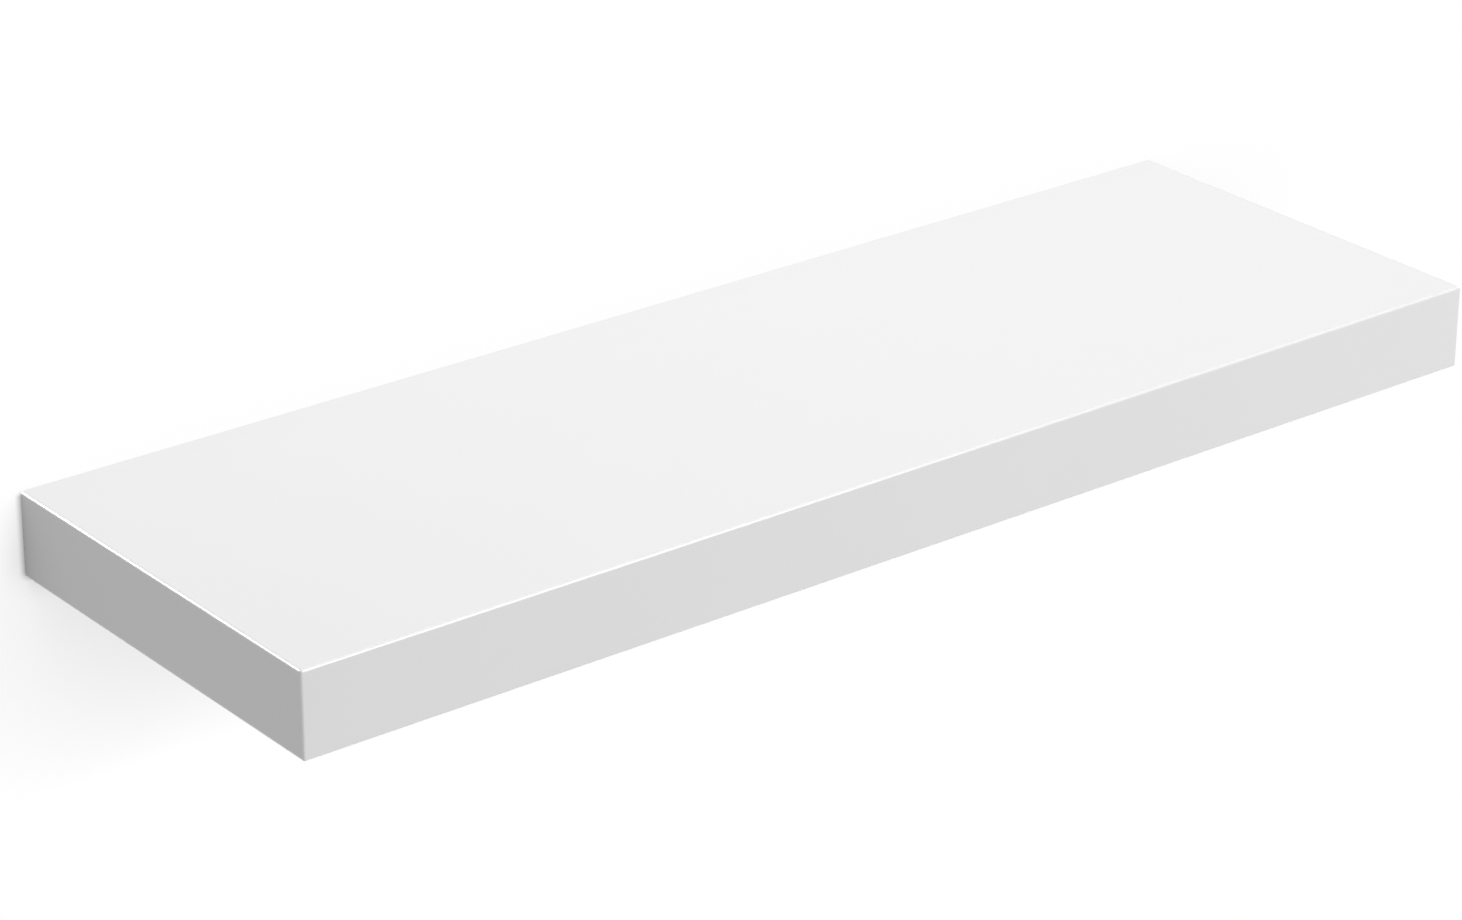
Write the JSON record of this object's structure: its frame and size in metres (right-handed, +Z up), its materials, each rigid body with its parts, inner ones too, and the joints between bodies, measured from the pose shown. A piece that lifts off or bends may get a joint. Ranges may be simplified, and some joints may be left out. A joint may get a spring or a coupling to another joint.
{
  "type": "floating wall shelf",
  "caption": "Thick rectangular hollow-core board with softly rounded edges that slides onto a concealed steel rod bracket and hangs off a wall with no visible support.",
  "frame": {"origin": "on the wall plane, at mid length and mid thickness, in the middle of the wall plate's back face", "axes": "+X along the wall to the right as seen by someone who faces it, +Y into the wall, +Z up; the board reaches out along -Y"},
  "size_m": [0.61, 0.2008, 0.038],
  "materials": {
    "white_foil_board": "satin",
    "white_edge_band": "satin",
    "chipboard": "matte",
    "kraft_paper": "matte",
    "zinc_plated_steel": "satin",
    "brass_insert": "satin",
    "black_oxide_steel": "satin"
  },
  "bodies": {
    "bracket": {"wall_plate": "zinc_plated_steel", "left_rod": "zinc_plated_steel", "right_rod": "zinc_plated_steel", "weld_beads": "zinc_plated_steel"},
    "board": {"top_skin": "white_foil_board", "bottom_skin": "white_foil_board", "front_edge_band": "white_edge_band", "left_edge_band": "white_edge_band", "right_edge_band": "white_edge_band", "front_rail": "chipboard", "rear_rail": "chipboard", "left_end_rail": "chipboard", "right_end_rail": "chipboard", "left_guide_rib": "chipboard", "right_guide_rib": "chipboard", "left_paper_core": "kraft_paper", "middle_paper_core": "kraft_paper", "right_paper_core": "kraft_paper", "screw_inserts": "brass_insert"},
    "left_set_screw": {"left_lock_screw": "black_oxide_steel"},
    "right_set_screw": {"right_lock_screw": "black_oxide_steel"}
  },
  "joints": [
    {"name": "board_slide", "type": "slide", "parent": "bracket", "child": "board", "axis": [0, -1, 0], "range_m": [0, 0.12]},
    {"name": "left_screw_travel", "type": "slide", "parent": "board", "child": "left_set_screw", "axis": [0, 0, -1], "range_m": [0, 0.008]},
    {"name": "right_screw_travel", "type": "slide", "parent": "board", "child": "right_set_screw", "axis": [0, 0, -1], "range_m": [0, 0.008]}
  ]
}
